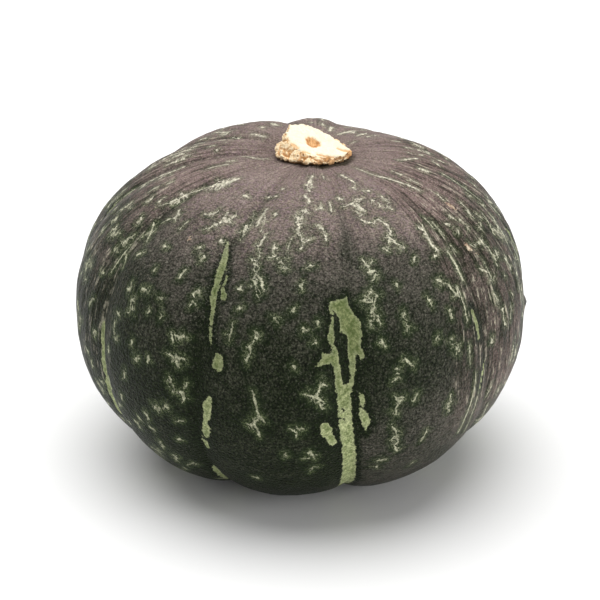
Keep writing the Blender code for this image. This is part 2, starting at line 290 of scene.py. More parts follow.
# Stem stub, about the middle of its pith: (degrees from +X towards +Y, distance in mm)
STEM_SEGMENTS = 320
PITH_PLACE = (-0.4, 0.6)  # millimetres from the middle of the stem basin
CUT_OUTLINE = (
    (6, 14.3), (14, 11.8), (30, 10.4), (70, 9.8), (110, 10.9), (146, 10.6), (182, 10.2), (215, 9.2),
    (250, 9.4), (285, 8.6), (308, 9.2), (330, 11.0), (350, 13.2),
)
RIM_OUTLINE = (
    (6, 14.4), (30, 12.6), (70, 12.0), (110, 12.4), (150, 13.0), (180, 13.6), (200, 14.5), (220, 14.0),
    (240, 12.6), (270, 12.0), (300, 12.2), (330, 13.0), (350, 14.2),
)
CUT_HEIGHT = 5.8 * MM  # of the cut face at the pith, over the bottom of the basin
CUT_SLOPE = (-0.28, 0.21)  # rise of the cut face per metre along X and Y
LIP_ANGLE = 312.0  # where the rim overhangs the skin, how widely, and how much higher it is there
LIP_WIDTH = 42.0
LIP_LIFT = 2.2
PITH_DEPTH = 2.4 * MM
PITH_RADIUS = 2.7 * MM
# Tan marks on the cut face, as strokes whose points are x, y and half width in mm from the pith
CUT_STAINS = marks("""
    9.4 .2 .2, 11.5 -.2 .3, 14 .2 .4; 1.8 -7.4 .2, 4.4 -6.9 .35, 7.8 -6.2 .2; -7.4 -4.8 .6, -5.6 -6.4 .5;
    -3.6 -8 .2, -1 -8.2 .2;
""")


def smoothstep(low, high, value):
    share = np.clip((value - low) / (high - low), 0.0, 1.0)
    return share * share * (3 - 2 * share)


def signed(degrees):
    """The same angle, between -180 and 180."""
    return (degrees + 180) % 360 - 180


def noise_field(points, size, seed=0.0):
    """Gradient noise, from -1 to 1, at each point of an (..., 3) array. size is in its units."""
    flat = (points / size + seed).reshape(-1, 3).tolist()
    return np.array(list(map(noise.noise, flat))).reshape(points.shape[:-1])


def cell_field(points, size, seed=0.0):
    """Distances to the nearest and to the second nearest of a cloud of seeds about size apart."""
    flat = (points / size + seed).reshape(-1, 3).tolist()
    nearest = np.array([noise.voronoi(point)[0][:2] for point in flat])
    return np.moveaxis(nearest.reshape(*points.shape[:-1], 2), -1, 0)


def grid_normals(position):
    """Unit normals, pointing out, of a grid of rows that run round an axis, from the top row down."""
    along = np.roll(position, -1, axis=1) - np.roll(position, 1, axis=1)
    down = np.gradient(position, axis=0)
    normal = np.cross(down, along)
    length = np.linalg.norm(normal, axis=-1, keepdims=True)
    return normal / np.maximum(length, 1e-12)


def grid_faces(rows, columns):
    """The faces of a closed grid, and for each corner its place on the grid: column and row."""
    last = 1 + columns * (rows - 2)
    faces, places = [], []
    for row in range(rows - 1):
        for column in range(columns):
            corners = [(column, row), (column, row + 1), (column + 1, row + 1), (column + 1, row)]
            if row == 0:
                corners = [(column + 0.5, row), *corners[1:3]]
            elif row == rows - 2:
                corners = [corners[0], (column + 0.5, row + 1), corners[3]]
            faces.append([
                min(1 + (down - 1) * columns + int(across) % columns, last) if down else 0
                for across, down in corners
            ])
            places += corners
    return faces, np.array(places)


def add_object(name, data):
    thing = bpy.data.objects.new(name, data)
    bpy.context.scene.collection.objects.link(thing)
    return thing


def closed_grid(name, position, fields):
    """A closed mesh from a grid whose first and last rows are single points, with fields over its points.

    Its UV map has the rows across and the columns up, so that baked detail is spread evenly.
    """
    rows, columns = position.shape[:2]
    faces, places = grid_faces(rows, columns)

    def per_point(grid):
        return np.concatenate([grid[:1, 0], grid[1:-1].reshape(-1, *grid.shape[2:]), grid[-1:, 0]])

    mesh = bpy.data.meshes.new(name)
    mesh.from_pydata(per_point(position).tolist(), [], faces)
    for field, values in fields.items():
        kind, key = ("FLOAT_VECTOR", "vector") if values.ndim == 3 else ("FLOAT", "value")
        attribute = mesh.attributes.new(field, kind, "POINT")
        attribute.data.foreach_set(key, per_point(values).astype(np.float32).ravel())
    layer = mesh.uv_layers.new(name="OFBake")
    layer.data.foreach_set("uv", (places / (columns, rows - 1)).astype(np.float32).ravel())
    mesh.shade_smooth()
    return add_object(name, mesh)


# ---------------------------------------------------------------- the skin's shape

def at_level(values, level):
    """A value at a level (1 stem end, 0 widest, -1 blossom end), given the values at those three."""
    stem_end, widest, blossom_end = values
    return widest + (np.where(level > 0, stem_end, blossom_end) - widest) * np.abs(level)


def crown_line(polar):
    """A crown's distance from the axis and height over the widest level, and its normal's two parts."""
    level = np.cos(polar)
    rise = np.where(level > 0, TOP_RISE, BOTTOM_DROP)
    fullness = np.where(level > 0, TOP_FULLNESS, BOTTOM_FULLNESS)
    radius = CROWN_RADIUS * np.maximum(np.sin(polar), 0.0) ** (2 / fullness)
    height = np.sign(level) * rise * np.abs(level) ** (2 / fullness)
    out, up = radius / CROWN_RADIUS**2, height / rise**2
    length = np.hypot(out, up)
    return radius, height, out / length, up / length


def end_basins(radius, level):
    hollow = BLOSSOM_BASIN_DEPTH * np.exp(-((radius / BLOSSOM_BASIN_RADIUS) ** 2))
    scar = BLOSSOM_SCAR_HEIGHT * np.exp(-((radius / BLOSSOM_SCAR_RADIUS) ** 4))
    basin = STEM_BASIN_DEPTH * np.exp(-((radius / STEM_BASIN_RADIUS) ** 2))
    return np.where(level > 0, -basin, hollow - scar)


def even_rings():
    """Polar angles evenly spaced along the crown line, and their distance along it from the stem end."""
    fine = np.linspace(0.0, math.pi, 4001)
    radius, height = crown_line(fine)[:2]
    arc = np.concatenate([[0.0], np.cumsum(np.hypot(np.diff(radius), np.diff(height)))])
    wanted = np.linspace(0.0, arc[-1], RINGS + 1)
    return np.interp(wanted, arc, fine), wanted


def lay_out_skin():
    """The smooth skin: its grid's positions, and where each point is on the unrolled skin."""
    rings, arcs = even_rings()
    turn, polar = np.meshgrid(np.linspace(0.0, LOBES, SEGMENTS, endpoint=False), rings)
    level = np.cos(polar)
    lobe = turn.astype(int)
    share = turn - lobe
    grooves = np.stack([at_level(groove, level) for groove in GROOVES], -1)
    start = np.take_along_axis(grooves, lobe[..., None], -1)[..., 0]
    end = np.take_along_axis(grooves, lobe[..., None] + 1, -1)[..., 0]
    azimuth = start + (end - start) * share
    radius, height, out, up = crown_line(polar)
    crown_radius = radius / MM
    across = np.hypot(4 * share * (1 - share), GROOVE_ROUNDING) ** GROOVE_SHARPNESS
    lowest = GROOVE_ROUNDING**GROOVE_SHARPNESS
    arch = (across - lowest) / (1 - lowest)
    away = smoothstep(0.0, GROOVE_FADE_RADIUS, radius)
    swell = SWELLS[lobe] * np.minimum(1.0, (1 + level) / SWELL_FADE)
    lift = away * (swell * arch - at_level(GROOVE_DEPTHS, level) * (1 - arch))
    radius = radius + lift * out
    height = height + lift * up + end_basins(radius, level)
    lean = STEM_OFFSET * np.maximum(level, 0.0) ** 2
    turned = np.radians(azimuth)
    position = np.stack([radius * np.sin(turned) + lean, -radius * np.cos(turned), height], -1)
    return SimpleNamespace(
        position=position, azimuth=signed(azimuth), polar=np.degrees(polar), arch=arch,
        radius=crown_radius, arc=np.broadcast_to(arcs[:, None] / MM, turn.shape),
    )


def place_in_frame(skin):
    """Moves the skin to where the CAD's fruit is: same middle, same top."""
    low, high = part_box("fruit")
    mine_low, mine_high = skin.position.min((0, 1)), skin.position.max((0, 1))
    shift = (np.array(low + high) - mine_low - mine_high) / 2
    shift[2] = high.z - mine_high[2]
    skin.position += shift


def wrapped(skin, radius):
    """Seamless places for patterns, in mm: round a pole at this radius, and down along the crown line."""
    turned = np.radians(skin.azimuth)
    return np.stack([radius * np.cos(turned), radius * np.sin(turned), skin.arc], -1)


def band(value, low, high, fade):
    """1 between low and high, and fading to 0 within fade outside them."""
    return smoothstep(low - fade, low, value) * (1 - smoothstep(high, high + fade, value))


def ridge_amount(skin):
    """How strongly fine ridges run along the skin: most on the right flank and round the stem."""
    right = 0.8 * band(skin.azimuth, 46, 125, 10) * band(skin.polar, 28, 92, 26)
    left = 0.6 * band(skin.azimuth, -125, -66, 16) * band(skin.polar, 25, 100, 20)
    stem = 0.5 * (1 - smoothstep(14, 46, skin.radius))
    back = 0.5 * (1 - band(skin.azimuth, -130, 130, 10)) * band(skin.polar, 25, 110, 20)
    top = 0.14 * (1 - smoothstep(40, 75, skin.polar))
    return np.maximum.reduce([right, left, stem, back, top])


def ridge_field(run):
    """Fine crests that run along the skin, from -1 in a valley to 1 on a crest."""
    wavy = run + 2.0 * noise_field(run, 16.0, 8.4)[..., None] * (1.0, 1.0, 0.0)
    streaks = wavy / (1.0, 1.0, 7.0)
    crests = 1 - 3.2 * np.abs(noise_field(streaks, 4.4, 3.1))
    return np.clip(0.6 * crests + 0.9 * noise_field(streaks, 2.4, 5.7), -1.0, 1.0)


def raise_relief(skin, flow, ridges):
    """Lifts the skin off its smooth shape by lumps, pebbles, fine ridges and one small bump."""
    long_ways = flow / (1.0, 1.0, 1.9)
    lumps = 0.55 * noise_field(long_ways, 30.0) + 0.3 * noise_field(long_ways, 13.0, 7.3)
    pebbles = 0.10 * noise_field(flow, 5.2, 1.7) + 0.06 * noise_field(flow, 2.6, 9.1)
    height = smoothstep(8.0, 24.0, skin.radius) * (lumps + pebbles)
    height = height + 0.34 * ridge_amount(skin) * ridges * smoothstep(4, 14, skin.radius)
    azimuth, polar, wide, tall = NODULE
    across = (skin.azimuth - azimuth) * skin.radius * math.pi / 180
    gap = np.hypot(across, skin.arc - ring_arc(skin, polar))
    height = height + tall * np.exp(-((gap / wide) ** 2))
    skin.position += grid_normals(skin.position) * (height * MM)[..., None]
    skin.position[..., 2] = np.maximum(skin.position[..., 2], 0.0)
    skin.position[0] = skin.position[0].mean(0)
    skin.position[-1] = skin.position[-1].mean(0)


# ---------------------------------------------------------------- the skin's markings

def ring_arc(skin, polar):
    """How far along the crown line, in mm, a polar angle in degrees lies."""
    return float(np.interp(polar, skin.polar[:, 0], skin.arc[:, 0]))


def unrolled(skin, shapes):
    """Each mark's points, with their distance along the crown line in place of their polar angle."""
    return [[(azimuth, ring_arc(skin, polar), *more) for azimuth, polar, *more in mark] for mark in shapes]


def rows_near(skin, arcs):
    """The grid rows within a mark's reach of some distances along the crown line."""
    return slice(*np.searchsorted(skin.arc[:, 0], (min(arcs) - MARK_REACH, max(arcs) + MARK_REACH)))


def way_to_line(skin, rows, start, end):
    """The way across and down in mm from each grid point to the nearest point of a line, and its share."""
    to_mm = skin.radius[rows] * math.pi / 180
    ax = signed(start[0] - skin.azimuth[rows]) * to_mm
    ay = start[1] - skin.arc[rows]
    dx, dy = (end[0] - start[0]) * to_mm, end[1] - start[1]
    share = np.clip(-(ax * dx + ay * dy) / np.maximum(dx * dx + dy * dy, 1e-9), 0.0, 1.0)
    return ax + share * dx, ay + share * dy, share


def nearest_stroke(skin, strokes):
    """From each grid point: the way to the nearest stroke, how far outside it that is, its half width."""
    clear = np.full(skin.azimuth.shape, MARK_REACH)
    way = np.full((*skin.azimuth.shape, 2), MARK_REACH)
    half_width = np.zeros_like(clear)
    for stroke in unrolled(skin, strokes):
        points = [(*point, FLECK_HALF_WIDTH)[:3] for point in stroke]
        for start, end in zip(points, points[1:] or points):
            rows = rows_near(skin, (start[1], end[1]))
            across, down, share = way_to_line(skin, rows, start, end)
            half = start[2] + (end[2] - start[2]) * share
            gap = np.hypot(across, down) - half
            closer = gap < clear[rows]
            clear[rows][closer] = gap[closer]
            way[rows][closer] = np.stack([across, down], -1)[closer]
            half_width[rows][closer] = half[closer]
    return way, clear, half_width


def patch_depth(skin, outlines):
    """How deep each grid point lies inside an outlined patch, in mm: negative outside, to -MARK_REACH."""
    depth = np.full(skin.azimuth.shape, -MARK_REACH)
    for outline in unrolled(skin, outlines):
        rows = rows_near(skin, [point[1] for point in outline])
        inside = np.zeros(skin.azimuth[rows].shape, bool)
        gap = np.full(inside.shape, MARK_REACH)
        for start, end in zip(outline, outline[1:] + outline[:1]):
            across, down, _ = way_to_line(skin, rows, start, end)
            gap = np.minimum(gap, np.hypot(across, down))
            if start[1] != end[1]:
                share = (skin.arc[rows] - start[1]) / (end[1] - start[1])
                left_of_it = skin.azimuth[rows] < start[0] + (end[0] - start[0]) * share
                inside ^= left_of_it & ((skin.arc[rows] >= start[1]) != (skin.arc[rows] >= end[1]))
        depth[rows] = np.maximum(depth[rows], np.where(inside, gap, -gap))
    return depth


def stripe_depth(skin, flow):
    """How deep each grid point lies inside the stripes, less the gaps in them."""
    uneven = 1.3 * noise_field(flow, 6.0, 6.6) + 0.9 * noise_field(flow, 2.6, 3.8)
    others = uneven - nearest_stroke(skin, OTHER_STRIPES)[1]
    fronts = np.maximum(patch_depth(skin, FRONT_PATCHES), -nearest_stroke(skin, FRONT_STRIPES)[1])
    stripes = np.maximum(fronts, others)
    gaps = np.maximum(patch_depth(skin, FRONT_ISLANDS), -nearest_stroke(skin, FRONT_GAPS)[1])
    return np.minimum(stripes, -gaps)


def spread_out(azimuth, polar, heading, length):
    """The point that lies a length in mm from another one, in a heading from straight down."""
    slim = max(0.3, math.sin(math.radians(polar)))
    return azimuth + length * math.sin(heading) / (1.5 * slim), polar + length * math.cos(heading) / 1.3


def with_fibres(draw, strokes):
    """The strokes, with short fibres that stray from them on all sides."""
    grown = []
    for stroke in strokes:
        grown.append(stroke)
        near_stem = stroke[0][1] < FIBRES_FROM
        for start, end in zip(stroke, stroke[1:] or stroke):
            thin_line = len(start) == 3 and start[2] <= THIN_LINE
            for _ in range(0 if near_stem or thin_line else draw.choice((1, 2, 3, 3))):
                share = draw.random()
                azimuth = start[0] + (end[0] - start[0]) * share
                polar = start[1] + (end[1] - start[1]) * share
                heading = draw.uniform(0, math.tau)
                middle = spread_out(azimuth, polar, heading, draw.uniform(0.7, 1.6))
                tip = spread_out(*middle, heading + draw.uniform(-0.9, 0.9), draw.uniform(0.4, 1.1))
                grown.append(((azimuth, polar, 0.23), (*middle, 0.18), (*tip, 0.06)))
    return grown


def seeded_flecks(draw):
    """Small wandering and branching strokes in rows down the lobes that no listed fleck covers."""
    flecks = []
    for lobe in OTHER_FLECK_LOBES:
        for across in FLECK_ROWS:
            polar = draw.uniform(*FLECK_REACH[:2])
            while polar < FLECK_REACH[2]:
                level = math.cos(math.radians(polar))
                start, end = (float(at_level(GROOVES[lobe + side], np.array(level))) for side in (0, 1))
                azimuth = signed(start + (end - start) * (across + draw.uniform(-0.08, 0.08)))
                if not any(low < azimuth < high and polar < limit for low, high, limit in PICKED):
                    flecks += star(draw, azimuth, polar)
                polar += draw.choice((3.5, 6.0, 9.0, 14.0)) * draw.uniform(0.8, 1.2)
    return flecks


def star(draw, azimuth, polar):
    """One fleck: a dot, a short wandering line, or a few arms from one point."""
    arms = draw.choice((0, 0, 1, 1, 2, 3))
    if arms == 0 or polar < 30:
        half = draw.uniform(0.35, 0.6)
        return [((azimuth, polar, half), (azimuth, polar + draw.uniform(0.0, 2.5), 0.35))]
    strokes = []
    size = draw.choice((0.6, 0.9, 1.2, 1.7))
    heading = draw.uniform(-0.5, 0.5)
    for arm in range(arms):
        heading += math.tau / arms * draw.uniform(0.75, 1.25)
        middle = spread_out(azimuth, polar, heading, size * draw.uniform(0.8, 1.8))
        tip = spread_out(*middle, heading + draw.uniform(-0.8, 0.8), size * draw.uniform(0.8, 1.8))
        strokes.append(((azimuth, polar, draw.uniform(0.3, 0.55)), (*middle, 0.34), (*tip, 0.2)))
    return strokes


def at_lip(degrees):
    """How near a direction from the pith is to the middle of the rim's lip: 1 there, less either side."""
    return np.exp(-((signed(degrees - LIP_ANGLE) / LIP_WIDTH) ** 2))


def painted_rim_shadow(skin):
    """How much painted shadow falls on each point of the skin under the stem's rim; the shadow is widest
    at its lip.
    """
    basin = skin.position[0, 0, :2]
    place = (skin.position[..., :2] - basin) / MM - PITH_PLACE
    angles, distances = np.array(RIM_OUTLINE).T
    turned = np.degrees(np.arctan2(place[..., 1], place[..., 0]))
    rim = np.interp(turned, angles, distances, period=360)
    lip = at_lip(turned)
    reach = 2.0 + 3.2 * lip
    gap = np.hypot(place[..., 0], place[..., 1]) - rim
    return (1 - smoothstep(0.3 * reach, reach, gap)) * (0.35 + 0.65 * lip) * (skin.polar < 90)


def bloom_amount(skin, flow):
    """The waxy purplish bloom: all over the top and far down the right side, thinned in the grooves as
    painted shade, and raised low on the right partly as painted light.
    """
    edge_azimuth, edge_polar = np.array(BLOOM_EDGE).T
    edge = np.interp(skin.azimuth, edge_azimuth, edge_polar)
    edge = edge + 8 * noise_field(flow, 26.0, 2.2) + 4 * noise_field(flow, 9.0, 4.4)
    flank = np.clip(0.5 + (edge - skin.polar) / (2 * BLOOM_FADE), 0.0, 1.0)
    top = np.clip(0.5 + (TOP_BLOOM_EDGE - skin.polar) / (2 * TOP_BLOOM_FADE), 0.0, 1.0)
    rubbed = RUBBED_BLOOM * band(skin.azimuth, 36, 112, 16) * smoothstep(26, 48, skin.polar)
    # partly wax, partly painted light brightening the lower right
    low = LOW_BLOOM_AND_PAINTED_LIGHT * band(skin.azimuth, 16, 70, 9) * smoothstep(74, 108, skin.polar)
    # painted shade: the wax thins in the grooves so that they look shaded, most near the top
    in_groove = (1 - smoothstep(0.0, 0.6, skin.arch)) * smoothstep(14, 28, skin.polar)
    groove_shade = in_groove * (PAINTED_GROOVE_SHADE[0] + PAINTED_GROOVE_SHADE[1] * band(skin.polar, 22, 38, 14))
    return (1 - TOP_BLOOM) * (1 - rubbed) * flank + TOP_BLOOM * top + low - groove_shade


def make_skin():
    skin = lay_out_skin()
    place_in_frame(skin)
    flow = wrapped(skin, np.hypot(skin.radius, POLE_RADIUS))
    run = wrapped(skin, CROWN_RADIUS / MM)
    ridges = ridge_field(run)
    draw = random.Random(FLECK_SEED)
    flecks = with_fibres(draw, FRONT_FLECKS + tuple(seeded_flecks(draw)))
    way, clear, half_width = nearest_stroke(skin, flecks)
    fields = {
        "flow": flow,
        "run": run,
        "stripe": stripe_depth(skin, flow),
        "fleck": np.concatenate([way, clear[..., None]], -1),
        "fleck_half": half_width,
        "scab": -nearest_stroke(skin, SCABS)[1],
        "bloom": bloom_amount(skin, flow),
        "lined": ridge_amount(skin),
        # painted shadow on the skin under the stem's rim
        "rim": painted_rim_shadow(skin),
        "ridge": ridges,
        "scar": (skin.polar > 90) * (1 - smoothstep(4.0, 7.5, skin.radius)),
    }
    raise_relief(skin, flow, ridges)
    return closed_grid("kabocha_skin", skin.position, fields), skin


# ---------------------------------------------------------------- the stem stub

def outline_radius(turned, outline):
    """An outline's distances from its middle, in metres, at evenly spaced angles."""
    angles, distances = np.array(outline).T
    radius = np.interp(np.degrees(turned), angles, distances, period=360)
    steps = range(-5, 6)
    return sum(np.roll(radius, step) for step in steps) / len(steps) * MM


def loft(sections):
    """Rows that run from section to section, and the values that go with them.

    A section is the number of rows that lead to it, its ring of points, and its values.
    """
    rows, values = [sections[0][1]], [sections[0][2]]
    for before, after in zip(sections, sections[1:]):
        for step in range(1, after[0] + 1):
            share = step / after[0]
            rows.append(before[1] + (after[1] - before[1]) * share)
            values.append(np.array(before[2]) + (np.array(after[2]) - np.array(before[2])) * share)
    return np.array(rows), np.array(values, float)


def stem_outlines(turned):
    """How far from the pith the rim, the edge of the cut and the mouth of the pith's hollow lie."""
    circle = np.stack([np.cos(turned), np.sin(turned), np.zeros_like(turned)], -1)
    rim = outline_radius(turned, RIM_OUTLINE)
    rim = rim + (0.7 * noise_field(circle, 0.3, 2.0) + 0.45 * noise_field(circle, 0.11, 8.0)) * MM
    cut = outline_radius(turned, CUT_OUTLINE)
    cut = cut + (0.8 * noise_field(circle, 0.28, 5.0) + 0.55 * noise_field(circle, 0.1, 3.0)) * MM
    uneven = 0.35 * noise_field(circle, 0.7, 4.0) + 0.2 * noise_field(circle, 0.25, 6.0)
    return rim, np.minimum(cut, rim), PITH_RADIUS * (1 + uneven)


def stem_sections(skin, turned):
    """The stub's sections from its foot out to the rim, up to the cut and down the hollow of the pith.

    Their values say how far each is crumbly side, smooth cut face, hollow and foot; the material paints
    shade at the foot.
    """
    basin = skin.position[0, 0]
    inner = skin.position[: RINGS // 4]
    ring_radius = np.linalg.norm(inner[..., :2] - basin[:2], axis=-1).mean(1)
    ring_height = inner[..., 2].mean(1)
    pith = basin[:2] + np.array(PITH_PLACE) * MM
    direction = np.stack([np.cos(turned), np.sin(turned)], -1)
    rim, cut, mouth = stem_outlines(turned)

    def at(radius):
        return pith + direction * np.broadcast_to(radius, turned.shape)[:, None]

    def skin_level(radius):
        reach = np.linalg.norm(at(radius) - basin[:2], axis=-1)
        return np.interp(reach, ring_radius, ring_height)

    def cut_level(radius):
        return basin[2] + CUT_HEIGHT + (at(radius) - pith) @ np.array(CUT_SLOPE)

    def ring(radius, height):
        return np.concatenate([at(radius), height[:, None]], -1)

    def on_side(radius, lift, share):
        """A ring a lift in mm over the skin, or a share of the way up to the cut where that is lower."""
        low = skin_level(radius)
        return ring(radius, low + np.minimum(lift * MM, share * np.maximum(cut_level(radius) - low, 0.0)))

    def on_cut(radius, drop):
        return ring(radius, cut_level(radius) - drop * MM)

    shoulder = 0.56 * rim + 0.44 * cut
    lip = 1 + LIP_LIFT * at_lip(np.degrees(turned))
    edge_drop = np.clip(0.2 * (cut_level(cut) - skin_level(cut)) / MM, 0.15, 0.8)
    return [
        (0, ring(0.0, skin_level(0.84 * rim) - 1.2 * MM), (0, 0, 0, 1)),
        (6, ring(0.84 * rim, skin_level(0.84 * rim) - 0.9 * MM), (0, 0, 0, 1)),
        (6, on_side((0.9 - 0.02 * lip) * rim, 0.2 * lip, 0.08 * lip), (0.4, 0, 0, 1)),
        (10, on_side(0.97 * rim, 0.75 * lip, 0.25 * lip), (0.9, 0, 0, 0.9)),
        (10, on_side(rim, 0.7 + 0.8 * lip, 0.3 + 0.15 * lip), (1, 0, 0, 0.3)),
        (8, on_side(0.985 * rim, 1.7 + 0.6 * lip, 0.54 + 0.06 * lip), (1, 0, 0, 0)),
        (18, ring(shoulder, 0.45 * skin_level(shoulder) + 0.55 * cut_level(shoulder)), (1, 0, 0, 0)),
        (18, on_cut(cut + 0.25 * MM, edge_drop), (0.85, 0, 0, 0)),
        (8, on_cut(cut, 0.3), (0.5, 0.35, 0, 0)),
        (6, on_cut(cut - 0.8 * MM, 0.0), (0.2, 1, 0, 0)),
        (36, on_cut(1.25 * mouth, 0.1), (0.05, 1, 0, 0)),
        (8, on_cut(mouth, 0.6), (0.12, 0.6, 0.6, 0)),
        (10, on_cut(0.72 * mouth, 0.7 * PITH_DEPTH / MM), (0.3, 0, 1, 0)),
        (6, on_cut(0.3 * mouth, PITH_DEPTH / MM), (0.2, 0, 1, 0)),
        (4, on_cut(0.0, PITH_DEPTH / MM), (0, 0, 1, 0)),
    ], pith


def stain_amount(place, stains):
    """How close each point, in mm from the pith, is to a stain: 1 on it, and 0 from a millimetre away."""
    nearest = np.full(place.shape[:-1], 1e3)
    for stain in stains:
        for start, end in zip(stain, stain[1:]):
            start, end = np.array(start), np.array(end)
            along = end[:2] - start[:2]
            offset = place[..., :2] - start[:2]
            share = np.clip(offset @ along / (along @ along), 0.0, 1.0)
            gap = np.linalg.norm(offset - share[..., None] * along, axis=-1)
            nearest = np.minimum(nearest, gap - start[2] - (end[2] - start[2]) * share)
    return 1 - smoothstep(-0.2, 1.0, nearest)


def crumble(place, side):
    """The stub's relief in mm, rough on its sides and nearly smooth on the cut, and how deep its pits and
    crevices are, which the material turns into orange-brown tissue and painted shade.
    """
    warped = place + 1.1 * np.stack([noise_field(place, 2.9, seed) for seed in (1.0, 4.0, 7.0)], -1)
    near, second = cell_field(warped, 4.2, 1.5)
    crevice = 1 - smoothstep(0.02, 0.3, second - near)
    fine_near, fine_second = cell_field(warped, 1.6, 6.5)
    fine_crevice = 1 - smoothstep(0.0, 0.35, fine_second - fine_near)
    pitted = smoothstep(-0.05, 0.35, noise_field(place, 3.4, 12.0))
    pits = pitted * (1 - smoothstep(0.15, 0.34, cell_field(warped, 1.9, 3.3)[0]))
    rough = 1.2 * (0.5 - near) - 0.5 * crevice + 0.45 * (0.5 - fine_near) - 0.3 * fine_crevice - pits
    rough = rough + 0.5 * noise_field(place, 5.0, 2.5) + 0.16 * noise_field(place, 0.9, 3.5)
    plain = 0.22 * noise_field(place, 4.0, 9.5) + 0.08 * noise_field(place, 1.1, 5.5)
    depth = np.clip(0.45 * crevice + 0.25 * fine_crevice + pits, 0, 1) * side
    return side * rough + (1 - side) * plain, depth


def make_stem(skin):
    """The corky stub: a flared crumbly rim, a smooth slanting cut and the hollow of the pith in it."""
    turned = np.linspace(0.0, math.tau, STEM_SEGMENTS, endpoint=False)
    sections, pith = stem_sections(skin, turned)
    position, values = loft(sections)
    position, values = position[::-1], values[::-1]
    for _ in range(3):
        position[1:-1] = (position[:-2] + 2 * position[1:-1] + position[2:]) / 4
    side, face, hollow, foot = (np.broadcast_to(value[:, None], position.shape[:2]) for value in values.T)
    place = (position - (*pith, position[0, 0, 2])) / MM
    height, pit = crumble(place, side)
    stain = stain_amount(place, CUT_STAINS) * (1 - hollow)
    height = height - 0.5 * stain * face
    position = position + grid_normals(position) * (height * MM)[..., None]
    position[0] = position[0].mean(0)
    position[-1] = position[-1].mean(0)
    fields = {"place": place, "pit": pit, "face": face, "hollow": hollow, "stain": stain, "foot": foot}
    return closed_grid("kabocha_stem", position, fields)


# ---------------------------------------------------------------- materials

class Shader:
    """The nodes of a material or of the world. Most methods add one and return its output socket."""

    def __init__(self, owner):
        owner.use_nodes = True
        self.owner = owner
        self.nodes = owner.node_tree.nodes
        self.links = owner.node_tree.links

    def connect(self, socket, value):
        if isinstance(value, bpy.types.NodeSocket):
            self.links.new(value, socket)
        else:
            socket.default_value = value

    def node(self, kind, inputs, **settings):
        node = self.nodes.new(kind)
        for setting, value in settings.items():
            setattr(node, setting, value)
        for name, value in inputs.items():
            self.connect(node.inputs[name], value)
        return node

    def attribute(self, name, output="Fac"):
        return self.node("ShaderNodeAttribute", {}, attribute_name=name).outputs[output]

    def math(self, operation, *values):
        return self.node("ShaderNodeMath", dict(enumerate(values)), operation=operation).outputs[0]

    def vector_math(self, operation, *values, output=0):
        node = self.node("ShaderNodeVectorMath", dict(enumerate(values)), operation=operation)
        return node.outputs[output]

    def times(self, first, second):
        return self.math("MULTIPLY", first, second)

    def plus(self, value, pattern, amount):
        """value + pattern * amount"""
        return self.math("MULTIPLY_ADD", pattern, amount, value)

    def nudge(self, value, pattern, amount):
        """value, moved both ways by a pattern that runs from 0 to 1: by amount at its ends."""
        return self.plus(value, self.math("SUBTRACT", pattern, 0.5), 2 * amount)

    def move(self, vector, offset, scale):
        """vector + offset * scale"""
        return self.vector_math("MULTIPLY_ADD", offset, (scale, scale, scale), vector)

    def stretch(self, vector, factors):
        return self.vector_math("MULTIPLY", vector, factors)

    def part(self, vector, axis):
        return self.node("ShaderNodeSeparateXYZ", {0: vector}).outputs[axis]

    def noise(self, where, size, detail=2.0, roughness=0.5, output=0):
        inputs = {"Vector": where, "Scale": 1 / size, "Detail": detail, "Roughness": roughness}
        return self.node("ShaderNodeTexNoise", inputs).outputs[output]

    def stray(self, where, size, detail=2.0, roughness=0.5):
        """A vector that wanders every way with noise of this size, up to about a half."""
        offset = self.noise(where, size, detail, roughness, output=1)
        return self.vector_math("SUBTRACT", offset, (0.5, 0.5, 0.5))

    def warp(self, where, size, amount):
        """where, moved up to about amount in every direction by noise of this size."""
        return self.move(where, self.stray(where, size), 2 * amount)

    def cells(self, where, size):
        return self.node("ShaderNodeTexVoronoi", {"Vector": where, "Scale": 1 / size}).outputs["Distance"]

    def veins(self, pattern, width):
        """1 where a pattern crosses its middle value, and 0 from width away."""
        return self.fade(self.math("ABSOLUTE", self.math("SUBTRACT", pattern, 0.5)), width, 0.0)

    def fade(self, value, low, high, to_low=0.0, to_high=1.0):
        """A smooth step from to_low to to_high while value goes from low to high."""
        inputs = {"Value": value, "From Min": low, "From Max": high, "To Min": to_low, "To Max": to_high}
        return self.node("ShaderNodeMapRange", inputs, interpolation_type="SMOOTHSTEP").outputs[0]

    def mix(self, share, first, second):
        """A blend of two colours. The node's inputs 6 and 7 and its output 2 are the ones for colours."""
        first, second = ((*end, 1.0) if isinstance(end, tuple) else end for end in (first, second))
        return self.node("ShaderNodeMix", {0: share, 6: first, 7: second}, data_type="RGBA").outputs[2]

    def coated(self, colour, *coats):
        """A colour with coats over it, each with its share and its colour."""
        for share, coat in coats:
            colour = self.mix(share, colour, coat)
        return colour

    def bump(self, height, distance, under=None):
        inputs = {"Height": height, "Distance": distance, "Strength": 1.0}
        if under is not None:
            inputs["Normal"] = under
        return self.node("ShaderNodeBump", inputs).outputs[0]

    def finished(self, colour, roughness, refraction, relief=None):
        """The material, once its surface has these."""
        looks = {"Base Color": colour, "Roughness": roughness, "IOR": refraction, "Normal": relief}
        for name, value in looks.items():
            if value is not None:
                self.connect(self.nodes["Principled BSDF"].inputs[name], value)
        return self.owner


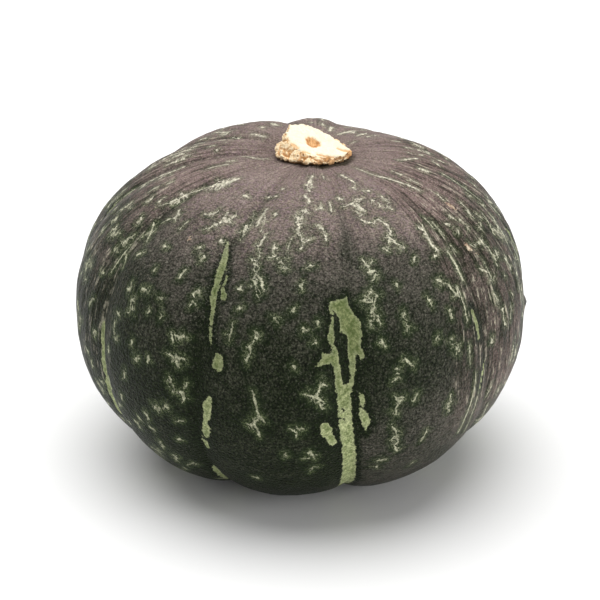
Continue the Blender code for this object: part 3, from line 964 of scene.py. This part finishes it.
def rind_patterns(sh):
    """What the skin's colours and its relief share: noise of several sizes, pebbles and short wrinkles."""
    flow = sh.attribute("flow", "Vector")
    grain = sh.noise(flow, 0.8, 2.0, 0.7)
    wrinkles = sh.noise(sh.stretch(sh.warp(flow, 4.0, 1.5), (0.7, 0.7, 1.6)), 1.5, 3.0, 0.65)
    return SimpleNamespace(
        flow=flow,
        waxy=sh.attribute("bloom"),
        grain=grain,
        speckle=sh.fade(grain, 0.35, 0.65),
        fine=sh.noise(flow, 0.9, 2.0, 0.6),
        tint=sh.fade(sh.noise(flow, 1.5, 2.0, 0.6), 0.36, 0.64),
        blotch=sh.noise(flow, 3.2, 3.0, 0.6),
        broad=sh.noise(flow, 16.0, 3.0, 0.55),
        pebbles=sh.cells(sh.warp(flow, 2.2, 0.6), 1.25),
        wrinkles=wrinkles,
        furrows=sh.veins(wrinkles, 0.055),
    )


def ridge_lines(sh, flow):
    """Where the skin has fine ridges: streaks along them, painted highlights on their crests and painted
    shade in the valleys between them.
    """
    lined = sh.attribute("lined")
    run = sh.warp(sh.attribute("run", "Vector"), 6.0, 0.8)
    streaks = sh.noise(sh.stretch(run, (1.0, 1.0, 0.09)), 1.9, 3.0, 0.65)
    crest = sh.plus(streaks, sh.attribute("ridge"), 0.05)
    broken = sh.fade(sh.noise(flow, 4.0, 3.0, 0.65), 0.42, 0.64, 0.03)
    # painted highlight along the ridges' crests
    pale = sh.times(sh.times(sh.fade(crest, 0.57, 0.64), lined), broken)
    # painted shade in the valleys between the ridges
    dark = sh.times(sh.fade(crest, 0.49, 0.39), lined)
    return SimpleNamespace(amount=lined, streaks=sh.times(streaks, lined), pale=pale, dark=dark)


def stripe_marks(sh, rind):
    """The ragged stripes, their pale rims and the greener skin round them."""
    ragged = sh.nudge(sh.attribute("stripe"), sh.noise(rind.flow, 2.0, 5.0, 0.75), 1.4)
    ragged = sh.nudge(ragged, rind.fine, 0.45)
    solid, rim, halo = (sh.fade(ragged, *ends) for ends in ((-0.12, 0.16), (1.1, 0.2), (-3.2, -0.3)))
    return SimpleNamespace(solid=solid, rim=rim, halo=halo)


def fleck_marks(sh, flow):
    """The flecks themselves, the fibres and the fuzz round each, and the greener skin round that."""
    way = sh.attribute("fleck", "Vector")
    clear = sh.part(way, 2)
    way = sh.stretch(sh.move(way, sh.stray(flow, 1.3, 3.0, 0.65), 1.7), (1.0, 1.0, 0.0))
    gap = sh.math("SUBTRACT", sh.vector_math("LENGTH", way, output="Value"), sh.attribute("fleck_half"))
    near = sh.fade(clear, 1.0, 0.62)
    line = sh.fade(sh.nudge(gap, sh.noise(flow, 0.7, 2.0, 0.6), 0.34), 0.14, -0.14)
    line = sh.times(line, sh.fade(sh.noise(flow, 1.1, 2.0, 0.6), 0.34, 0.60, 0.45))
    threads = sh.veins(sh.noise(sh.warp(flow, 1.4, 0.6), 1.7, 2.0, 0.6), 0.045)
    fuzz = sh.fade(sh.nudge(clear, sh.noise(flow, 2.4, 3.0, 0.7), 2.8), 2.4, -1.0)
    halo = sh.fade(sh.nudge(clear, sh.noise(flow, 3.2, 3.0, 0.6), 2.2), 3.6, -0.4)
    solid, fibres = sh.times(line, near), sh.times(fuzz, threads)
    return SimpleNamespace(solid=solid, fibres=fibres, fuzz=fuzz, halo=halo)


def bloom_share(sh, rind, lines, flecks, stripes):
    """How much wax covers the green: less round flecks and stripes, in the ridge valleys as painted shade,
    and between the pebbles, which paints shade there and light on their tops.
    """
    bloom = sh.nudge(sh.nudge(rind.waxy, rind.broad, 0.22), rind.blotch, 0.18)
    # less wax in the ridge valleys adds to their painted shade
    for pattern, amount in ((flecks.halo, -0.26), (stripes.halo, -0.3), (lines.dark, -0.35)):
        bloom = sh.plus(bloom, pattern, amount)
    # more wax on the pebbles' tops and less between them: partly the wax, partly painted light on the tops
    # and painted shade between them
    bloom = sh.nudge(sh.nudge(bloom, rind.speckle, 0.08), rind.pebbles, -0.14)
    return sh.fade(bloom, -0.07, 1.06)


def rind_colour(sh, rind, lines, flecks, bloom):
    """Dark green under purplish wax, with painted highlights and painted shade along the ridges, painted
    glints, and the flecks' fuzz and fibres.
    """
    green = sh.mix(rind.speckle, (0.002, 0.0035, 0.001), (0.012, 0.0205, 0.006))
    green = sh.mix(sh.times(flecks.halo, 0.5), green, (0.016, 0.030, 0.010))
    wax = sh.coated(
        sh.mix(rind.tint, (0.315, 0.216, 0.236), (0.315, 0.252, 0.198)),
        (sh.fade(rind.broad, 0.35, 0.65, 0.0, 0.4), (0.345, 0.275, 0.240)),
        (sh.fade(rind.waxy, 0.62, 0.28), (0.206, 0.180, 0.156)),
        (sh.fade(rind.waxy, 0.25, 0.0), (0.186, 0.186, 0.130)),
        (sh.times(lines.amount, 0.85), (0.302, 0.198, 0.180)),
    )
    thin, thick = sh.mix(0.46, wax, (0.055, 0.046, 0.038)), sh.mix(0.08, wax, (0.62, 0.55, 0.50))
    # painted glints: light grey specks standing in for sparkle on the skin, stronger where the wax is
    painted_glints = sh.fade(sh.noise(rind.flow, 0.75, 1.0), 0.60, 0.74)
    return sh.coated(
        sh.mix(bloom, green, sh.mix(rind.speckle, thin, thick)),
        (sh.times(painted_glints, sh.fade(rind.waxy, -0.1, 0.6, 0.08, 0.32)), (0.45, 0.45, 0.35)),
        # painted shade in the ridge valleys, then painted highlights on the crests
        (sh.times(lines.dark, 0.7), (0.023, 0.021, 0.012)),
        (sh.times(lines.pale, 0.85), (0.64, 0.59, 0.45)),
        (sh.times(rind.furrows, 0.45), (0.010, 0.011, 0.007)),
        (sh.times(flecks.fuzz, 0.25), (0.065, 0.085, 0.035)),
        (sh.times(flecks.fibres, 0.7), sh.mix(rind.waxy, (0.22, 0.26, 0.13), (0.74, 0.70, 0.52))),
    )


def stripe_colour(sh, rind, stripes):
    """Mottled green that is paler low down, in the wax and at a stripe's rim."""
    mottle = sh.fade(sh.noise(rind.flow, 2.1, 3.0, 0.7), 0.37, 0.62)
    low_down = sh.fade(sh.part(rind.flow, 2), 96.0, 136.0)
    body = sh.coated(
        sh.mix(mottle, (0.095, 0.125, 0.040), (0.260, 0.288, 0.130)),
        (low_down, sh.mix(mottle, (0.26, 0.31, 0.13), (0.55, 0.59, 0.31))),
        (sh.fade(rind.waxy, 0.25, 0.65, 0.0, 0.6), (0.44, 0.43, 0.30)),
    )
    return sh.coated(
        sh.mix(rind.speckle, sh.mix(0.6, body, (0.07, 0.10, 0.03)), body),
        (sh.times(stripes.rim, 0.3), (0.48, 0.50, 0.30)),
        (sh.times(rind.furrows, 0.35), (0.06, 0.08, 0.03)),
    )


def fleck_colour(sh, rind):
    """Cream high up in the wax and greener low down, with darker specks."""
    shine = sh.fade(sh.noise(rind.flow, 1.4, 2.0, 0.6), 0.30, 0.66)
    pale = sh.mix(sh.fade(rind.waxy, 0.1, 0.7), (0.60, 0.60, 0.42), (0.92, 0.86, 0.70))
    return sh.mix(shine, sh.mix(0.68, pale, (0.12, 0.13, 0.07)), pale)


def blemishes(sh, rind):
    """Coats for the painted shadow on the skin under the stem's rim, the corky spots and the blossom scar.
    """
    under = sh.nudge(sh.attribute("rim"), rind.blotch, 0.3)
    spot = sh.nudge(sh.attribute("scab"), rind.fine, 1.6)
    scar = sh.nudge(sh.attribute("scar"), rind.blotch, 0.3)
    return (
        # painted shadow under the stem's rim, dark olive-brown
        (sh.fade(under, 0.15, 0.85, 0.0, 0.9), (0.030, 0.024, 0.012)),
        (sh.fade(spot, -0.3, 0.3, 0.0, 0.8), sh.mix(rind.tint, (0.28, 0.16, 0.10), (0.76, 0.64, 0.47))),
        (sh.fade(scar, 0.35, 0.6), sh.mix(rind.grain, (0.16, 0.11, 0.06), (0.42, 0.32, 0.19))),
    )


def skin_material():
    sh = Shader(bpy.data.materials.new("skin"))
    rind = rind_patterns(sh)
    lines = ridge_lines(sh, rind.flow)
    stripes = stripe_marks(sh, rind)
    flecks = fleck_marks(sh, rind.flow)
    bloom = bloom_share(sh, rind, lines, flecks, stripes)
    colour = sh.coated(
        rind_colour(sh, rind, lines, flecks, bloom),
        (stripes.solid, stripe_colour(sh, rind, stripes)),
        (flecks.solid, fleck_colour(sh, rind)),
        *blemishes(sh, rind),
    )
    roughness = sh.fade(sh.nudge(bloom, rind.grain, 0.3), 0.0, 1.0, 0.40, 0.60)
    relief = sh.bump(sh.times(rind.pebbles, -1.0), 0.34 * MM)
    for height, distance in ((rind.wrinkles, 0.8), (lines.streaks, 1.1), (flecks.solid, 0.12)):
        relief = sh.bump(height, distance * MM, relief)
    return sh.finished(colour, roughness, 1.15, relief)


def stem_material():
    sh = Shader(bpy.data.materials.new("cork"))
    place = sh.attribute("place", "Vector")
    speck = sh.noise(place, 0.55, 3.0, 0.6)
    patch = sh.noise(place, 2.2, 3.0, 0.6)
    face = sh.fade(sh.nudge(sh.attribute("face"), patch, 0.25), 0.4, 0.62)

    pit = sh.nudge(sh.attribute("pit"), speck, 0.25)
    # painted shade: the stem's sides darken towards its foot, under the rim
    foot = sh.nudge(sh.attribute("foot"), patch, 0.5)
    side = sh.coated(
        sh.mix(sh.fade(patch, 0.36, 0.60), (0.68, 0.43, 0.20), (0.90, 0.72, 0.46)),
        (sh.fade(speck, 0.40, 0.66), (0.93, 0.81, 0.58)),
        # orange-brown tissue in the pits and crevices, and painted shade that darkens the deepest of them
        # near black
        (sh.fade(pit, 0.14, 0.55, 0.0, 0.8), (0.56, 0.28, 0.095)),
        (sh.fade(pit, 0.6, 0.95), (0.13, 0.06, 0.022)),
        # painted shade at the stem's foot
        (sh.fade(foot, 0.35, 1.0), (0.24, 0.13, 0.055)),
    )
    cut = sh.mix(sh.fade(patch, 0.3, 0.7), (0.83, 0.73, 0.53), (0.88, 0.80, 0.62))
    cut = sh.mix(sh.fade(speck, 0.58, 0.75, 0.0, 0.4), cut, (0.80, 0.64, 0.40))
    stain = sh.nudge(sh.attribute("stain"), speck, 0.35)
    hollow = sh.nudge(sh.attribute("hollow"), speck, 0.3)
    inside = sh.mix(sh.fade(patch, 0.35, 0.65), (0.50, 0.24, 0.085), (0.86, 0.56, 0.28))
    colour = sh.coated(
        sh.mix(face, side, cut),
        (sh.fade(stain, 0.35, 0.95, 0.0, 0.85), (0.66, 0.38, 0.16)),
        (sh.fade(hollow, 0.25, 0.75), inside),
    )
    relief = sh.bump(sh.cells(place, 0.9), 0.15 * MM, sh.bump(speck, 0.3 * MM))
    return sh.finished(colour, 0.85, 1.35, relief)


# ---------------------------------------------------------------- the studio

FLOOR_RADIUS = 14.0
FLOOR_SIDES = 96
AIM = Vector((0.0, 0.0, 0.060))
VIEW_ELEVATION = 25.0
VIEW_DISTANCE = 1.05
LENS = 166.0
LIGHTS = (
    # azimuth and elevation in degrees that it shines from, strength, softness in degrees
    ("overhead", -160, 74, 3.4, 75),
    ("right_side", 64, 6, 2.2, 50),
    ("left_side", -120, 30, 0.1, 50),
)
SKY_STRENGTH = 0.41
BACKDROP_STRENGTH = 1.0


def toward(azimuth, elevation):
    turned, raised = math.radians(azimuth), math.radians(elevation)
    across = math.cos(raised)
    return Vector((math.sin(turned) * across, -math.cos(turned) * across, math.sin(raised)))


def make_floor():
    mesh = bpy.data.meshes.new("floor")
    ring = [toward(360 / FLOOR_SIDES * side, 0) * FLOOR_RADIUS for side in range(FLOOR_SIDES)]
    mesh.from_pydata(ring, [], [range(FLOOR_SIDES)])
    sh = Shader(bpy.data.materials.new("paper"))
    place = sh.node("ShaderNodeTexCoord", {}).outputs["Object"]
    paper = sh.mix(sh.noise(place, 0.02, 4.0, 0.6), (0.855, 0.855, 0.85), (0.865, 0.865, 0.86))
    mesh.materials.append(sh.finished(paper, 0.9, 1.2))
    floor = add_object("floor", mesh)


def add_lights():
    """Suns as soft as big softboxes."""
    for name, azimuth, elevation, strength, softness in LIGHTS:
        light = bpy.data.lights.new(name, "SUN")
        light.energy = strength
        light.angle = math.radians(softness)
        lamp = add_object(name, light)
        lamp.rotation_euler = toward(azimuth, elevation).to_track_quat("Z", "Y").to_euler()


def light_world():
    """A dim sky that the camera sees as a pale backdrop."""
    world = bpy.data.worlds.new("studio")
    sh = Shader(world)
    seen = sh.node("ShaderNodeLightPath", {}).outputs["Is Camera Ray"]
    background = sh.nodes["Background"].inputs
    sh.connect(background["Color"], (1.0, 1.0, 1.0, 1.0))
    sh.connect(background["Strength"], sh.fade(seen, 0.0, 1.0, SKY_STRENGTH, BACKDROP_STRENGTH))
    bpy.context.scene.world = world


def add_camera():
    data = bpy.data.cameras.new("camera")
    data.lens = LENS
    data.clip_end = 100.0
    camera = add_object("camera", data)
    back = toward(0, VIEW_ELEVATION)
    camera.location = AIM + back * VIEW_DISTANCE
    camera.rotation_euler = back.to_track_quat("Z", "Y").to_euler()
    bpy.context.scene.camera = camera
    bpy.context.scene.view_settings.view_transform = "Standard"


def main():
    fruit, skin = make_skin()
    fruit.data.materials.append(skin_material())
    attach(fruit, BODY)
    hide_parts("fruit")

    stem = make_stem(skin)
    stem.data.materials.append(stem_material())
    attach(stem, BODY)
    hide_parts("stem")

    make_floor()
    add_lights()
    light_world()
    add_camera()


main()
